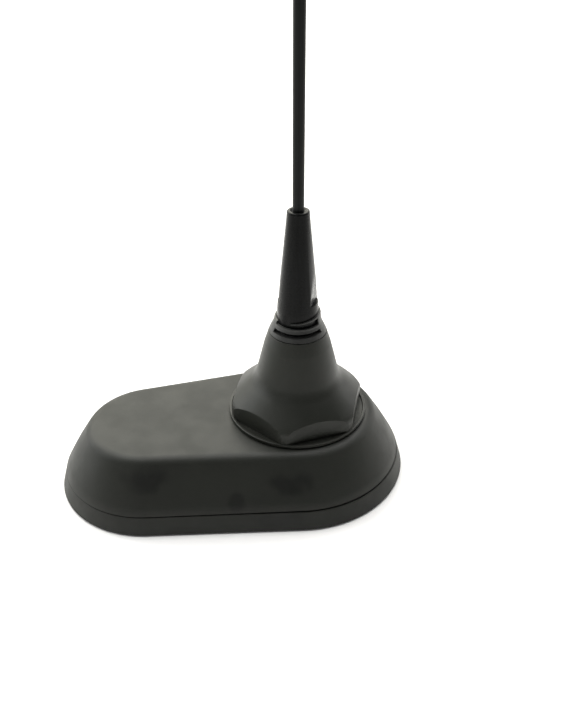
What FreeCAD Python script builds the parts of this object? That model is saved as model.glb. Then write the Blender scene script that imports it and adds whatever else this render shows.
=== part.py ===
import FreeCAD, Part
import math
import os

# A whip antenna on an oblong magnet base: the outdoor antenna of a cellular signal booster.
# Millimetres, +Z up. The origin is on the whip's axis, in the plane that the rubber sole
# stands on. The base's broad round end is round the axis and its tail runs towards -X.

# ---- Driving dimensions -------------------------------------------------------------------

# Base outline: the hull of two circles, at floor level
front_radius = 36.2
tail_radius = 30.6
lobe_spacing = 49.1

# Heights of the base
skirt_height = 6.25
base_height = 21.8
skirt_draft = 1.87
cover_draft_degrees = 31.0
cover_edge_radius = 4.1
cover_bulge = 0.45
cover_bulge_radius = 120.0
cover_wall = 2.6
parting_gap_tail = 0.15
parting_gap_front = 0.75
rim_clearance = 0.3

# Rubber sole and tray
sole_thickness = 1.2
sole_margin = 2.0
sole_fit = 0.1
skirt_lift = 0.3
floor_thickness = 2.0
tray_wall = 4.1
lip_height = 1.75
lip_thickness = 1.6
lip_clearance = 0.15

# Seal between the tray and the cover
seal_width = 1.3
seal_depth = 0.9
seal_land = 1.0

# Screws that hold the cover to the tray
screw_radius = 1.45
screw_head_radius = 2.8
screw_head_height = 1.4
screw_reach = 5.0
screw_margin = 9.2
screw_angle = 50.0
pillar_radius = 3.2
pillar_gap = 0.1

# Magnets, their steel cups and the ground plate
plate_clearance = 0.8
plate_rim = 1.0
plate_thickness = 0.8
cup_height = 7.0
cup_wall = 1.5
magnet_gap = 1.2
magnet_height = 5.3
magnet_bore_radius = 7.0
cup_fit = 0.1

# Circuit board and what is on it
board_front_radius = 14.0
board_tail_radius = 10.0
board_length = 44.0
board_thickness = 1.6
spacer_radius = 2.2
spacer_height = 3.0
board_screw_radius = 1.0
board_screw_head_radius = 1.9
board_screw_head_height = 1.3
board_screw_inset = 3.4
matching_coil_radius = 2.0
matching_coil_turns = 6
matching_coil_wire = 0.8
matching_coil_pitch = 1.5
matching_coil_place = -30.0
capacitor_size = (3.2, 1.6, 1.2)
capacitor_count = 4
capacitor_spacing = 3.6
capacitor_place = (-15.5, 4.5)

# Cable outlet in the hidden long side, for a 5 mm coaxial cable
cable_place = -25.0
cable_height = 9.5
cable_bore_radius = 2.6
grommet_radius = 4.0
grommet_flange_radius = 5.0
grommet_flange_thickness = 1.4
grommet_proud = 0.8
clamp_wall = 0.8
clamp_width = 4.4
clamp_foot = 4.5
clamp_edge = 1.2
clamp_screw_radius = 1.0
clamp_screw_head_radius = 1.8
clamp_screw_head_height = 1.2

# Threaded boss that the hexagon nut screws onto
boss_radius = 9.0
boss_top = 31.0
boss_bore_radius = 5.0
boss_flange_radius = 12.5
boss_flange_thickness = 2.2
boss_seal_thickness = 0.8
boss_clearance = 0.1
ring_nut_flats = 22.0
ring_nut_height = 2.5
insulator_drop = 1.0
contact_radius = 2.4
contact_wall = 0.7
contact_drop = 1.2
contact_shortfall = 4.0
plunger_clearance = 0.06
plunger_length = 7.5
plunger_proud = 0.5
spring_wire = 0.35
spring_turns = 5
spring_pitch = 1.0
spring_clearance = 0.25
thread_clearance = 0.06

# Hexagon nut: a moulded cap that flares out to a thin disc
gasket_thickness = 0.4
gasket_margin = 1.0
gasket_width = 7.0
disc_thickness = 0.95
corner_margin = 0.4
flat_margin = 2.9
hexagon_turn = -110.5
corner_height = 4.0
corner_fillet = 3.6
flare_foot_radius = 13.75
flare_foot_height = 34.9
flare_fillet = 8.0
shoulder_radius = 10.6
shoulder_height = 47.6
rim_radius = 9.85
rim_height = 49.9
crown_radius = 9.2
crown_height = 51.9
pocket_depth = 0.45
pocket_margin = 0.9
insert_wall = 3.6
insert_length = 6.0
nut_pocket_clearance = 0.5
ceiling_gap = 1.0

# Loading coil inside the nut's neck
former_radius = 8.2
former_core_radius = 5.0
former_flange = 2.0
former_top = 46.0
loading_coil_wire = 1.1
loading_coil_turns = 6
loading_coil_gap = 0.05
button_radius = 3.0
button_height = 2.0
plunger_gap = 0.05

# Stud that the whip screws onto
stud_radius = 2.5
stud_head_radius = 4.2
stud_head_height = 1.6
stud_reach = 5.8

# Slotted rubber collar above the nut
collar_gap = 0.3
collar_waist_radius = 7.6
collar_waist_height = 55.4
collar_neck_radius = 7.25
collar_neck_height = 57.0
collar_top_height = 57.8
collar_lip_radius = 7.2
collar_root_margin = 0.1
collar_key_depth = 1.3
collar_key_wall = 1.0
collar_key_margin = 0.9
slot_turn = -101.0
slot_half_angle = 62.0
slot_levels = (53.4, 56.0)
slot_heights = (1.3, 1.15)

# Whip: ferrule, rod and tip
ferrule_seat_height = 50.0
ferrule_washer_thickness = 0.6
ferrule_foot_radius = 6.45
ferrule_foot_height = 60.2
ferrule_waist_radius = 3.62
ferrule_waist_height = 88.8
ferrule_top_radius = 3.36
ferrule_top_height = 92.0
ferrule_edge_radius = 0.55
ferrule_sink_radius = 2.45
ferrule_sink_depth = 0.45
ferrule_chamfer = 0.4
thread_run = 1.0
flats_across = 10.2
flats_turn = -28.0
flats_low = 62.4
flats_high = 74.0
rod_radius = 1.7
rod_start = 64.0
rod_clearance = 0.08
rod_socket = 86.0
whip_height = 268.0
tip_radius = 2.3
tip_length = 7.0
tip_wall = 0.6
tip_land = 0.05

# Cutting tools run past a face by this much, rings reach this far over the middle that
# fills them, and points nearer than this are one point
past = 1.0
ring_overlap = 2.5
same_point = 1e-6

# ---- Values worked out from them ----------------------------------------------------------

full = 360.0
sides = 6
half_side = math.radians(full / sides / 2)
slope = math.tan(math.radians(cover_draft_degrees))
cover_rise = base_height - skirt_height
edge_inset = skirt_draft + cover_rise * slope
edge_bend = math.radians(90.0 + cover_draft_degrees) / 2
top_inset = edge_inset + cover_edge_radius / math.tan(edge_bend)
wall_inset = cover_wall / math.cos(math.radians(cover_draft_degrees))
roof = base_height - cover_wall
tangent_angle = math.degrees(math.acos(-(front_radius - tail_radius) / lobe_spacing))

screw_places = [
    (
        (front_radius - screw_margin) * math.cos(math.radians(screw_angle)),
        side * (front_radius - screw_margin) * math.sin(math.radians(screw_angle)),
    )
    for side in (1, -1)
] + [
    (
        -lobe_spacing - (tail_radius - screw_margin) * math.cos(math.radians(screw_angle)),
        side * (tail_radius - screw_margin) * math.sin(math.radians(screw_angle)),
    )
    for side in (1, -1)
]

floor_top = sole_thickness + floor_thickness
plate_inset = screw_margin + pillar_radius + plate_clearance
cup_inset = plate_inset + plate_rim
cup_top = sole_thickness + cup_height
plate_top = cup_top + plate_thickness
board_low = plate_top + spacer_height
board_top = board_low + board_thickness
board_screw_places = [
    (board_front_radius - board_screw_inset, 0.0),
    (-board_length, board_tail_radius - board_screw_inset),
    (-board_length, -(board_tail_radius - board_screw_inset)),
]

flange_top = roof - boss_seal_thickness
flange_low = flange_top - boss_flange_thickness
contact_top = boss_top - contact_shortfall
plunger_radius = contact_radius - contact_wall - plunger_clearance
plunger_top = boss_top + plunger_proud
plunger_low = plunger_top - plunger_length
spring_low = plunger_low - spring_turns * spring_pitch

disc_low = base_height + gasket_thickness
disc_top = disc_low + disc_thickness
disc_radius = front_radius - top_inset
corner_radius = disc_radius - corner_margin
flats_radius = disc_radius - flat_margin
corner_top = disc_top + corner_height
insert_low = boss_top - insert_length
insert_radius = boss_radius + insert_wall
ceiling = boss_top + ceiling_gap
ring_nut_corner = ring_nut_flats / 2 / math.cos(half_side)
nut_pocket_radius = ring_nut_corner + nut_pocket_clearance

ferrule_low = ferrule_seat_height + ferrule_washer_thickness
collar_bore_radius = ferrule_foot_radius + collar_gap
stud_top = ferrule_low + stud_reach


# ---- Shapes that several pieces share ------------------------------------------------------

def at(x, y, z):
    return FreeCAD.Vector(x, y, z)


def rounded_wire(corners):
    """Closed wire in the XZ plane through (across, up) or (across, up, radius) corners."""
    edges = []
    starts = []
    ends = []
    arcs = []
    count = len(corners)
    for index in range(count):
        corner = corners[index]
        place = at(corner[0], 0, corner[1])
        if len(corner) == 2:
            starts.append(place)
            ends.append(place)
            arcs.append(None)
            continue
        before = corners[index - 1]
        after = corners[(index + 1) % count]
        back = (at(before[0], 0, before[1]) - place).normalize()
        ahead = (at(after[0], 0, after[1]) - place).normalize()
        half = back.getAngle(ahead) / 2
        inward = (back + ahead).normalize()
        run = corner[2] / math.tan(half)
        middle = place + inward * (corner[2] / math.sin(half) - corner[2])
        starts.append(place + back * run)
        ends.append(place + ahead * run)
        arcs.append(middle)
    for index in range(count):
        if arcs[index] is not None:
            edges.append(Part.Arc(starts[index], arcs[index], ends[index]).toShape())
        following = (index + 1) % count
        if ends[index].distanceToPoint(starts[following]) > same_point:
            edges.append(Part.LineSegment(ends[index], starts[following]).toShape())
    return Part.Wire(edges)


def turned(corners):
    """Solid of revolution about the whip's axis from a closed outline of (radius, height)."""
    return Part.Face(rounded_wire(corners)).revolve(at(0, 0, 0), at(0, 0, 1), full)


def tube(outer, inner, low, high):
    return turned([(inner, low), (outer, low), (outer, high), (inner, high)])


def rod(radius, low, high, x=0.0, y=0.0):
    return Part.makeCylinder(radius, high - low, at(x, y, low))


def outline(front, tail, spacing):
    """Hull of a circle at the origin and one at -X: two arcs and the two lines they touch."""
    angle = math.acos(-(front - tail) / spacing)
    across = math.cos(angle)
    along = math.sin(angle)
    upper_front = at(front * across, front * along, 0)
    lower_front = at(front * across, -front * along, 0)
    upper_tail = at(-spacing + tail * across, tail * along, 0)
    lower_tail = at(-spacing + tail * across, -tail * along, 0)
    return Part.Wire([
        Part.Arc(lower_front, at(front, 0, 0), upper_front).toShape(),
        Part.LineSegment(upper_front, upper_tail).toShape(),
        Part.Arc(upper_tail, at(-spacing - tail, 0, 0), lower_tail).toShape(),
        Part.LineSegment(lower_tail, lower_front).toShape(),
    ])


def plate(front, tail, spacing, low, high):
    face = Part.Face(outline(front, tail, spacing))
    return face.extrude(at(0, 0, high - low)).translate(at(0, 0, low))


def inset_plate(inset, low, high):
    return plate(front_radius - inset, tail_radius - inset, lobe_spacing, low, high)


def belt(section):
    """Closed ring that carries a section of (inset, height) corners round the base outline."""
    axis = at(0, 0, 1)
    front_face = Part.Face(rounded_wire([(front_radius - c[0],) + tuple(c[1:]) for c in section]))
    tail_face = Part.Face(rounded_wire([(tail_radius - c[0],) + tuple(c[1:]) for c in section]))
    front_face.rotate(at(0, 0, 0), axis, -tangent_angle)
    tail_face.rotate(at(0, 0, 0), axis, tangent_angle)
    tail_face.translate(at(-lobe_spacing, 0, 0))
    front = front_face.revolve(at(0, 0, 0), axis, 2 * tangent_angle)
    tail = tail_face.revolve(at(-lobe_spacing, 0, 0), axis, full - 2 * tangent_angle)
    flank = math.sqrt(lobe_spacing ** 2 - (front_radius - tail_radius) ** 2)
    heading = math.radians(tangent_angle)
    ahead = at(-math.sin(heading), math.cos(heading), 0) * flank
    upper_face = front_face.copy()
    upper_face.rotate(at(0, 0, 0), axis, 2 * tangent_angle)
    upper = upper_face.extrude(ahead)
    lower = front_face.extrude(at(ahead.x, -ahead.y, 0))
    return front.multiFuse([tail, upper, lower]).removeSplitter()


def moulding(section, depth):
    """Filled form: a belt whose section reaches in to the given depth, and its middle."""
    low = min(corner[1] for corner in section)
    high = max(corner[1] for corner in section)
    core = inset_plate(depth - past, low, high)
    return belt(section).fuse(core).removeSplitter()


def joined(pieces):
    return Part.makeCompound(pieces)


def coil(radius, wire_radius, pitch, turns, low):
    """Round wire wound about the Z axis."""
    helix = Part.makeHelix(pitch, pitch * turns, radius)
    ring = Part.makeCircle(wire_radius, at(radius, 0, 0), at(0, 1, 0))
    wound = Part.Wire(helix).makePipeShell([Part.Wire(ring)], True, True)
    wound.translate(at(0, 0, low))
    return wound


def hexagon(across_flats, low, high, turn):
    points = []
    reach = across_flats / 2 / math.cos(half_side)
    for corner in range(sides + 1):
        angle = math.radians(turn + full / sides * corner)
        points.append(at(reach * math.cos(angle), reach * math.sin(angle), low))
    return Part.Face(Part.makePolygon(points)).extrude(at(0, 0, high - low))


# ---- Base ----------------------------------------------------------------------------------

def cover_form():
    """Outer form of the cover, down to the plane where the skirt begins."""
    depth = top_inset + ring_overlap
    lean = math.radians(cover_draft_degrees)
    middle_inset = (skirt_draft + edge_inset) / 2 - cover_bulge * math.cos(lean)
    middle_height = (skirt_height + base_height) / 2 + cover_bulge * math.sin(lean)
    section = [
        (skirt_draft, skirt_height),
        (middle_inset, middle_height, cover_bulge_radius),
        (edge_inset, base_height, cover_edge_radius),
        (depth, base_height),
        (depth, skirt_height),
    ]
    return moulding(section, depth)


def cover_hollow():
    low = skirt_height - past
    inner = skirt_draft + wall_inset
    corner = inner + (roof - skirt_height) * slope
    depth = corner + ring_overlap
    section = [
        (inner - past * slope, low),
        (corner, roof, cover_wall / 2),
        (depth, roof),
        (depth, low),
    ]
    return moulding(section, depth)


def parting_wedge():
    """Everything under the cover's rim, which stands a little further off the tray in front."""
    left = -lobe_spacing - tail_radius
    points = [
        at(left, -2 * front_radius, 0),
        at(front_radius, -2 * front_radius, 0),
        at(front_radius, -2 * front_radius, skirt_height + parting_gap_front),
        at(left, -2 * front_radius, skirt_height + parting_gap_tail),
    ]
    points.append(points[0])
    return Part.Face(Part.makePolygon(points)).extrude(at(0, 4 * front_radius, 0))


def flank_reach(height):
    """Y of the outer face of the base at the cable outlet, at a height."""
    heading = math.radians(tangent_angle)
    straight = (front_radius - cable_place * math.cos(heading)) / math.sin(heading)
    if height < skirt_height:
        inset = skirt_draft * height / skirt_height
    else:
        inset = skirt_draft + (height - skirt_height) * slope
    return straight - inset / math.sin(heading)


def cable_hole(radius):
    length = flank_reach(0)
    return Part.makeCylinder(radius, length, at(cable_place, grommet_inner, cable_height), at(0, 1, 0))


grommet_inner = (
    flank_reach(cable_height + grommet_flange_radius)
    - wall_inset / math.sin(math.radians(tangent_angle))
    - rim_clearance
)
grommet_outer = flank_reach(cable_height - grommet_radius) + grommet_proud


def make_base_cover():
    form = cover_form()
    bosses = []
    for x, y in screw_places:
        bosses.append(rod(pillar_radius, skirt_height + pillar_gap, roof, x, y).common(form))
    shell = form.cut(cover_hollow()).cut(parting_wedge())
    shell = shell.multiFuse(bosses)
    tools = [rod(boss_radius + boss_clearance, roof - past, base_height + past), cable_hole(grommet_radius)]
    for x, y in screw_places:
        tools.append(rod(screw_radius, 0, skirt_height + pillar_gap + screw_reach, x, y))
    return shell.cut(tools)


def make_base_tray():
    rim_inner = skirt_draft + wall_inset + lip_clearance
    lip_top = skirt_height + lip_height
    lip_lean = lip_height * slope
    skirt = belt([
        (skirt_draft * skirt_lift / skirt_height, skirt_lift),
        (skirt_draft, skirt_height),
        (rim_inner, skirt_height),
        (rim_inner + lip_lean, lip_top),
        (rim_inner + lip_lean + lip_thickness, lip_top),
        (rim_inner + lip_thickness, skirt_height - lip_clearance),
        (tray_wall, floor_top),
        (tray_wall, sole_thickness),
        (sole_margin, sole_thickness),
        (sole_margin, skirt_lift),
    ])
    tray = skirt.fuse(inset_plate(tray_wall - past, sole_thickness, floor_top))
    pillars = []
    for x, y in screw_places:
        pillars.append(rod(pillar_radius, sole_thickness, skirt_height, x, y))
    tray = tray.multiFuse(pillars)
    groove = skirt_draft + seal_land
    tools = [
        rod(front_radius - cup_inset + cup_fit, 0, base_height),
        rod(tail_radius - cup_inset + cup_fit, 0, base_height, -lobe_spacing),
        cable_hole(grommet_radius),
        belt([
            (groove, skirt_height - seal_depth),
            (groove + seal_width, skirt_height - seal_depth),
            (groove + seal_width, skirt_height + past),
            (groove, skirt_height + past),
        ]),
    ]
    for x, y in screw_places:
        tools.append(rod(screw_radius + boss_clearance, 0, base_height, x, y))
        tools.append(screw_head(x, y, boss_clearance))
        tools.append(rod(pillar_radius + rim_clearance, skirt_height, base_height, x, y))
    return tray.cut(tools).removeSplitter()


def screw_head(x, y, clearance):
    wide = screw_head_radius + clearance
    narrow = screw_radius + clearance
    return Part.makeCone(wide, narrow, screw_head_height, at(x, y, sole_thickness))


def make_cover_screws():
    screws = []
    for x, y in screw_places:
        shank_top = skirt_height + pillar_gap + screw_reach
        shank = rod(screw_radius, sole_thickness, shank_top, x, y)
        screws.append(shank.fuse(screw_head(x, y, 0.0)).removeSplitter())
    return joined(screws)


def make_cover_seal():
    low = skirt_height - seal_depth
    high = skirt_height + parting_gap_tail
    groove = skirt_draft + seal_land
    ring = belt([
        (groove, low),
        (groove + seal_width, low),
        (groove + seal_width, high),
        (groove, high),
    ])
    return ring.cut(cable_hole(grommet_radius))


def make_sole_pad():
    return inset_plate(sole_margin + sole_fit, 0, sole_thickness)


def make_pole_cup(radius, x):
    block = rod(radius, sole_thickness, cup_top, x)
    return block.cut(rod(radius - cup_wall, 0, cup_top - cup_wall, x))


def make_magnet(radius, x):
    outer = radius - cup_wall - magnet_gap
    high = cup_top - cup_wall
    ring = rod(outer, high - magnet_height, high, x)
    return ring.cut(rod(magnet_bore_radius, 0, base_height, x))


def clamp_places():
    across = cable_bore_radius + clamp_wall + clamp_foot / 2
    return [(cable_place + side * across, clamp_centre) for side in (-1, 1)]


plate_reach = flank_reach(0) - plate_inset / math.sin(math.radians(tangent_angle))
clamp_centre = plate_reach - clamp_edge - clamp_width


def make_ground_plate():
    sheet = inset_plate(plate_inset, cup_top, plate_top)
    holes = []
    for x, y in board_screw_places:
        holes.append(rod(board_screw_radius, 0, base_height, x, y))
    for x, y in clamp_places():
        holes.append(rod(clamp_screw_radius, 0, base_height, x, y))
    return sheet.cut(holes)


def make_circuit_board():
    board = plate(board_front_radius, board_tail_radius, board_length, board_low, board_top)
    holes = [rod(contact_radius, 0, base_height)]
    for x, y in board_screw_places:
        holes.append(rod(board_screw_radius + boss_clearance, 0, base_height, x, y))
    return board.cut(holes)


def make_board_spacers():
    spacers = []
    for x, y in board_screw_places:
        outer = rod(spacer_radius, plate_top, board_low, x, y)
        spacers.append(outer.cut(rod(board_screw_radius + boss_clearance, 0, base_height, x, y)))
    return joined(spacers)


def make_board_screws():
    screws = []
    for x, y in board_screw_places:
        shank = rod(board_screw_radius, cup_top, board_top, x, y)
        head = rod(board_screw_head_radius, board_top, board_top + board_screw_head_height, x, y)
        screws.append(shank.fuse(head))
    return joined(screws)


def make_matching_coil():
    wire = matching_coil_wire / 2
    length = matching_coil_pitch * matching_coil_turns
    wound = coil(matching_coil_radius, wire, matching_coil_pitch, matching_coil_turns, 0)
    wound.rotate(at(0, 0, 0), at(0, 1, 0), full / 4)
    height = board_top + matching_coil_radius + wire
    wound.translate(at(matching_coil_place - length / 2, 0, height))
    return wound


def make_tuning_capacitors():
    long_side, short_side, thick = capacitor_size
    chips = []
    for index in range(capacitor_count):
        x = capacitor_place[0] - index * capacitor_spacing
        corner = at(x - short_side / 2, capacitor_place[1], board_top)
        chips.append(Part.makeBox(short_side, long_side, thick, corner))
    return joined(chips)


def make_cable_grommet():
    length = grommet_outer - grommet_inner
    start = at(cable_place, grommet_inner, cable_height)
    along = at(0, 1, 0)
    body = Part.makeCylinder(grommet_radius, length, start, along)
    flange_start = at(cable_place, grommet_inner - grommet_flange_thickness, cable_height)
    flange = Part.makeCylinder(grommet_flange_radius, grommet_flange_thickness, flange_start, along)
    bore = Part.makeCylinder(cable_bore_radius, length + 2 * past + grommet_flange_thickness,
                             at(cable_place, flange_start.y - past, cable_height), along)
    return body.fuse(flange).cut(bore).removeSplitter()


def make_cable_clamp():
    centre = at(cable_place, clamp_centre - clamp_width / 2, plate_top + cable_bore_radius)
    along = at(0, 1, 0)
    outer = cable_bore_radius + clamp_wall
    arch = Part.makeCylinder(outer, clamp_width, centre, along)
    leg = Part.makeBox(2 * outer, clamp_width, cable_bore_radius,
                       at(cable_place - outer, centre.y, plate_top))
    reach = outer + clamp_foot
    feet = Part.makeBox(2 * reach, clamp_width, clamp_wall,
                        at(cable_place - reach, centre.y, plate_top))
    inner = Part.makeCylinder(cable_bore_radius, clamp_width, centre, along)
    gap = Part.makeBox(2 * cable_bore_radius, clamp_width, cable_bore_radius,
                       at(cable_place - cable_bore_radius, centre.y, plate_top))
    floor = Part.makeBox(4 * reach, clamp_width, plate_top, at(cable_place - 2 * reach, centre.y, 0))
    tools = [inner, gap, floor]
    for x, y in clamp_places():
        tools.append(rod(clamp_screw_radius, 0, base_height, x, y))
    return arch.multiFuse([leg, feet]).cut(tools).removeSplitter()


def make_clamp_screws():
    screws = []
    seat = plate_top + clamp_wall
    for x, y in clamp_places():
        shank = rod(clamp_screw_radius, cup_top, seat, x, y)
        head = rod(clamp_screw_head_radius, seat, seat + clamp_screw_head_height, x, y)
        screws.append(shank.fuse(head))
    return joined(screws)


# ---- Boss and contact on the whip's axis ----------------------------------------------------

def make_antenna_boss():
    return turned([
        (boss_bore_radius, flange_low),
        (boss_flange_radius, flange_low),
        (boss_flange_radius, flange_top),
        (boss_radius, flange_top),
        (boss_radius, boss_top - ferrule_chamfer),
        (boss_radius - ferrule_chamfer, boss_top),
        (boss_bore_radius, boss_top),
    ])


def make_boss_seal():
    return tube(boss_flange_radius, boss_radius, flange_top, roof)


def make_boss_ring_nut():
    nut = hexagon(ring_nut_flats, base_height, base_height + ring_nut_height, 0.0)
    return nut.cut(rod(boss_radius, 0, boss_top))


def make_boss_insulator():
    return tube(boss_bore_radius, contact_radius, flange_low - insulator_drop, boss_top - insulator_drop)


def make_centre_contact():
    low = board_low - contact_drop
    bore = contact_radius - contact_wall
    return turned([
        (0, low),
        (contact_radius, low),
        (contact_radius, contact_top),
        (bore, contact_top),
        (bore, spring_low),
        (0, spring_low),
    ])


def make_contact_spring():
    outer = contact_radius - contact_wall - spring_clearance
    wire = spring_wire / 2
    room = plunger_low - spring_low - spring_wire
    return coil(outer - wire, wire, room / spring_turns, spring_turns, spring_low + wire)


def make_contact_plunger():
    return turned([
        (0, plunger_low),
        (plunger_radius, plunger_low),
        (plunger_radius, plunger_top, plunger_radius / 2),
        (0, plunger_top),
    ])


# ---- Hexagon nut ------------------------------------------------------------------------------

def make_boot_gasket():
    outer = disc_radius - gasket_margin
    return tube(outer, outer - gasket_width, base_height, disc_low)


def lens_pocket():
    """Shallow recess in the disc, between its rim and the flats of the hexagon."""
    inner = rod(disc_radius - pocket_margin, disc_top - pocket_depth, disc_top + past)
    return inner.cut(hexagon(2 * flats_radius, disc_low, disc_top + 2 * past, hexagon_turn))


def make_nut_boot():
    flare = turned([
        (0, disc_low),
        (corner_radius, disc_low),
        (corner_radius, corner_top, corner_fillet),
        (flare_foot_radius, flare_foot_height, flare_fillet),
        (shoulder_radius, shoulder_height),
        (rim_radius, rim_height),
        (crown_radius, crown_height),
        (0, crown_height),
    ])
    body = flare.common(hexagon(2 * flats_radius, disc_low, crown_height, hexagon_turn))
    disc = rod(disc_radius, disc_low, disc_top).cut(lens_pocket())
    body = body.fuse(disc).removeSplitter()
    key_outer = collar_bore_radius + collar_key_margin + collar_key_wall
    key_inner = collar_bore_radius + collar_key_margin
    tools = [
        rod(nut_pocket_radius, disc_low - past, insert_low),
        rod(insert_radius, insert_low - past, boss_top),
        rod(former_radius, boss_top - past, former_top),
        rod(stud_radius, former_top - past, crown_height),
        rod(collar_bore_radius, ferrule_seat_height, crown_height + past),
        tube(key_outer, key_inner, crown_height - collar_key_depth, crown_height + past),
    ]
    return body.cut(tools)


def make_nut_insert():
    return tube(insert_radius, boss_radius + thread_clearance, insert_low, boss_top)


def make_coil_former():
    low = ceiling
    high = former_top
    return turned([
        (0, low + button_height - ceiling_gap / 2),
        (button_radius, low + button_height - ceiling_gap / 2),
        (button_radius, low),
        (former_radius, low),
        (former_radius, low + former_flange),
        (former_core_radius, low + former_flange),
        (former_core_radius, high - former_flange),
        (former_radius, high - former_flange),
        (former_radius, high),
        (stud_head_radius, high),
        (stud_head_radius, high - stud_head_height),
        (0, high - stud_head_height),
    ])


def make_contact_button():
    low = plunger_top + plunger_gap
    return rod(button_radius, low, ceiling + button_height - ceiling_gap / 2)


def make_loading_coil():
    wire = loading_coil_wire / 2
    low = ceiling + former_flange + wire
    high = former_top - former_flange - wire
    gap = loading_coil_gap
    pitch = (high - low - 2 * gap) / loading_coil_turns
    return coil(former_core_radius + wire + gap, wire, pitch, loading_coil_turns, low + gap)


def make_whip_stud():
    head = rod(stud_head_radius, former_top - stud_head_height, former_top)
    shank = turned([
        (0, former_top - stud_head_height),
        (stud_radius, former_top - stud_head_height),
        (stud_radius, stud_top - ferrule_chamfer),
        (stud_radius - ferrule_chamfer, stud_top),
        (0, stud_top),
    ])
    return head.fuse(shank).removeSplitter()


def slot_cutter(low, high, turn):
    """Sector of a flat ring that opens the collar's wall on one side."""
    face = Part.Face(rounded_wire([
        (collar_bore_radius - past, low),
        (crown_radius + past, low),
        (crown_radius + past, high),
        (collar_bore_radius - past, high),
    ]))
    face.rotate(at(0, 0, 0), at(0, 0, 1), turn - slot_half_angle)
    return face.revolve(at(0, 0, 0), at(0, 0, 1), 2 * slot_half_angle)


def make_slotted_collar():
    key_inner = collar_bore_radius + collar_key_margin
    key_outer = key_inner + collar_key_wall
    sleeve = turned([
        (collar_bore_radius, crown_height),
        (key_inner, crown_height),
        (key_inner, crown_height - collar_key_depth),
        (key_outer, crown_height - collar_key_depth),
        (key_outer, crown_height),
        (crown_radius - collar_root_margin, crown_height),
        (collar_waist_radius, collar_waist_height),
        (collar_neck_radius, collar_neck_height),
        (collar_lip_radius, collar_top_height),
        (collar_bore_radius, collar_top_height),
    ])
    for low, height in zip(slot_levels, slot_heights):
        for side in (0.0, 180.0):
            sleeve = sleeve.cut(slot_cutter(low, low + height, slot_turn + side))
    return sleeve


# ---- Whip ---------------------------------------------------------------------------------------

def make_ferrule_washer():
    return tube(ferrule_foot_radius, stud_radius + thread_clearance, ferrule_seat_height, ferrule_low)


def make_whip_ferrule():
    body = turned([
        (0, ferrule_low),
        (ferrule_foot_radius, ferrule_low),
        (ferrule_foot_radius, ferrule_foot_height),
        (ferrule_waist_radius, ferrule_waist_height),
        (ferrule_top_radius, ferrule_top_height, ferrule_edge_radius),
        (ferrule_sink_radius, ferrule_top_height),
        (rod_radius + rod_clearance, ferrule_top_height - ferrule_sink_depth),
        (rod_radius + rod_clearance, rod_socket),
        (rod_radius, rod_socket),
        (rod_radius, rod_start),
        (0, rod_start),
    ])
    bore = rod(stud_radius + thread_clearance, ferrule_low - past, stud_top + thread_run)
    tall = flats_high - flats_low
    tools = [bore]
    for side in (0.0, 180.0):
        flat = Part.makeBox(ferrule_foot_radius, 2 * ferrule_foot_radius, tall,
                            at(flats_across / 2, -ferrule_foot_radius, flats_low))
        flat.rotate(at(0, 0, 0), at(0, 0, 1), flats_turn + side)
        tools.append(flat)
    return body.cut(tools)


def make_whip_rod():
    return rod(rod_radius, rod_start, whip_height - tip_wall - tip_radius)


def make_whip_tip():
    low = whip_height - tip_length
    return turned([
        (rod_radius, low),
        (rod_radius + tip_wall, low),
        (tip_radius, whip_height - tip_radius),
        (tip_radius, whip_height, tip_radius - tip_land),
        (0, whip_height),
        (0, whip_height - tip_wall - tip_radius),
        (rod_radius, whip_height - tip_wall - tip_radius),
    ])


# ---- Export -------------------------------------------------------------------------------------

def build():
    front_cup = front_radius - cup_inset
    tail_cup = tail_radius - cup_inset
    return {
        "base_cover": make_base_cover(),
        "base_tray": make_base_tray(),
        "sole_pad": make_sole_pad(),
        "cover_seal": make_cover_seal(),
        "cover_screws": make_cover_screws(),
        "front_pole_cup": make_pole_cup(front_cup, 0),
        "tail_pole_cup": make_pole_cup(tail_cup, -lobe_spacing),
        "front_magnet": make_magnet(front_cup, 0),
        "tail_magnet": make_magnet(tail_cup, -lobe_spacing),
        "ground_plate": make_ground_plate(),
        "circuit_board": make_circuit_board(),
        "board_spacers": make_board_spacers(),
        "board_screws": make_board_screws(),
        "matching_coil": make_matching_coil(),
        "tuning_capacitors": make_tuning_capacitors(),
        "cable_grommet": make_cable_grommet(),
        "cable_clamp": make_cable_clamp(),
        "clamp_screws": make_clamp_screws(),
        "antenna_boss": make_antenna_boss(),
        "boss_seal": make_boss_seal(),
        "boss_ring_nut": make_boss_ring_nut(),
        "boss_insulator": make_boss_insulator(),
        "centre_contact": make_centre_contact(),
        "contact_spring": make_contact_spring(),
        "contact_plunger": make_contact_plunger(),
        "boot_gasket": make_boot_gasket(),
        "nut_boot": make_nut_boot(),
        "nut_insert": make_nut_insert(),
        "coil_former": make_coil_former(),
        "loading_coil": make_loading_coil(),
        "contact_button": make_contact_button(),
        "whip_stud": make_whip_stud(),
        "slotted_collar": make_slotted_collar(),
        "ferrule_washer": make_ferrule_washer(),
        "whip_ferrule": make_whip_ferrule(),
        "whip_rod": make_whip_rod(),
        "whip_tip": make_whip_tip(),
    }


os.makedirs("parts", exist_ok=True)
for node, shape in build().items():
    if not shape.isValid() or not shape.Solids:
        raise ValueError(node + " is not a sound solid")
    print(node, len(shape.Solids), "solids,", round(shape.Volume), "cubic mm")
    shape.exportStep("parts/" + node + ".step")
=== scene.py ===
"""A magnet-base whip antenna: its moulded base, hexagon nut, slotted collar and whip.

Metres, +Z up, in the packed model's own frame. Each piece has an operator, its sizes are
properties, and places come from the boxes of the packed nodes.
"""

import math

import bmesh
import bpy
from bpy.props import FloatProperty, FloatVectorProperty, IntProperty, PointerProperty
from mathutils import Matrix, Vector


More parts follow.
